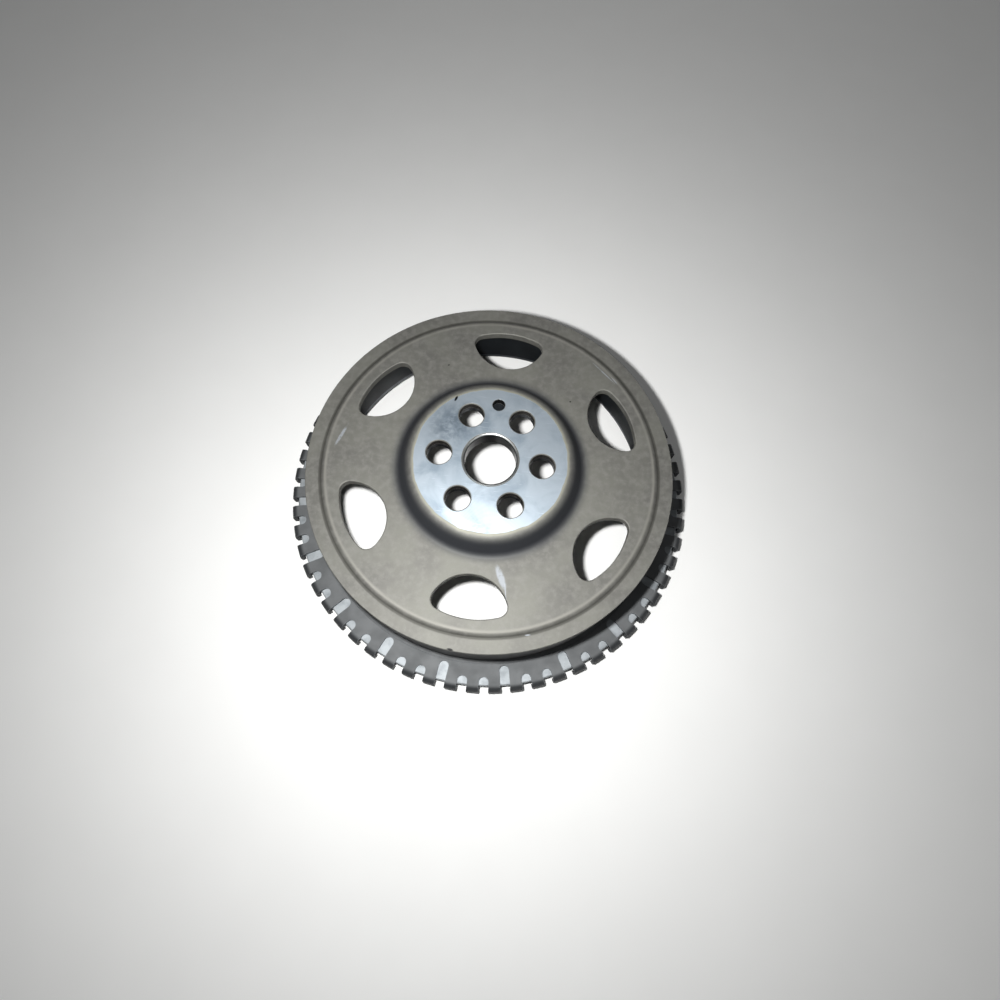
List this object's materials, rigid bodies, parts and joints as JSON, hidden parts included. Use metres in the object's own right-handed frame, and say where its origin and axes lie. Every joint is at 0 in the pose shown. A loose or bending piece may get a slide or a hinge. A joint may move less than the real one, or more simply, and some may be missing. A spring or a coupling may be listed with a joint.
{
  "type": "flywheel",
  "caption": "Pot-shaped engine flywheel with bolted crank face, cooling windows, slotted sensor ring and an inner ring of magnets.",
  "frame": {"origin": "on the axis, at the rear face of the inertia ring, which is the lowest face", "axes": "+Z along the axis towards the machined crank face; +Y from the axis to the dowel hole"},
  "size_m": [0.275, 0.275, 0.0665],
  "materials": {
    "pot_steel": "pressed and lightly phosphated, satin warm grey, machined bright on the crank face",
    "sensor_steel": "pressed sheet, dark oiled grey",
    "ring_iron": "turned, light grey, slightly rough",
    "plate_steel": "ground",
    "sleeve_steel": "fine turned, bright",
    "pin_steel": "ground",
    "keeper_steel": "pressed sheet, plain",
    "cage_plastic": "moulded, black, matt",
    "liner_metal": "thin non-magnetic stainless sleeve with a dark slate coating",
    "magnet": "sintered, ground and coated dark grey"
  },
  "bodies": {
    "root": {"drive_pot": "pot_steel", "hub_backing_plate": "plate_steel", "centring_sleeve": "sleeve_steel", "inertia_ring": "ring_iron", "inertia_ring_pins": "pin_steel", "sensor_ring": "sensor_steel", "index_pin": "pin_steel", "magnet_cage": "cage_plastic", "magnet_liner": "liner_metal", "magnet_retaining_ring": "keeper_steel", "balance_plugs": "pin_steel", "magnet_01": "magnet", "magnet_02": "magnet", "magnet_03": "magnet", "magnet_04": "magnet", "magnet_05": "magnet", "magnet_06": "magnet", "magnet_07": "magnet", "magnet_08": "magnet", "magnet_09": "magnet", "magnet_10": "magnet", "magnet_11": "magnet", "magnet_12": "magnet", "magnet_13": "magnet", "magnet_14": "magnet", "magnet_15": "magnet", "magnet_16": "magnet", "magnet_17": "magnet", "magnet_18": "magnet", "magnet_19": "magnet", "magnet_20": "magnet"}
  },
  "joints": []
}
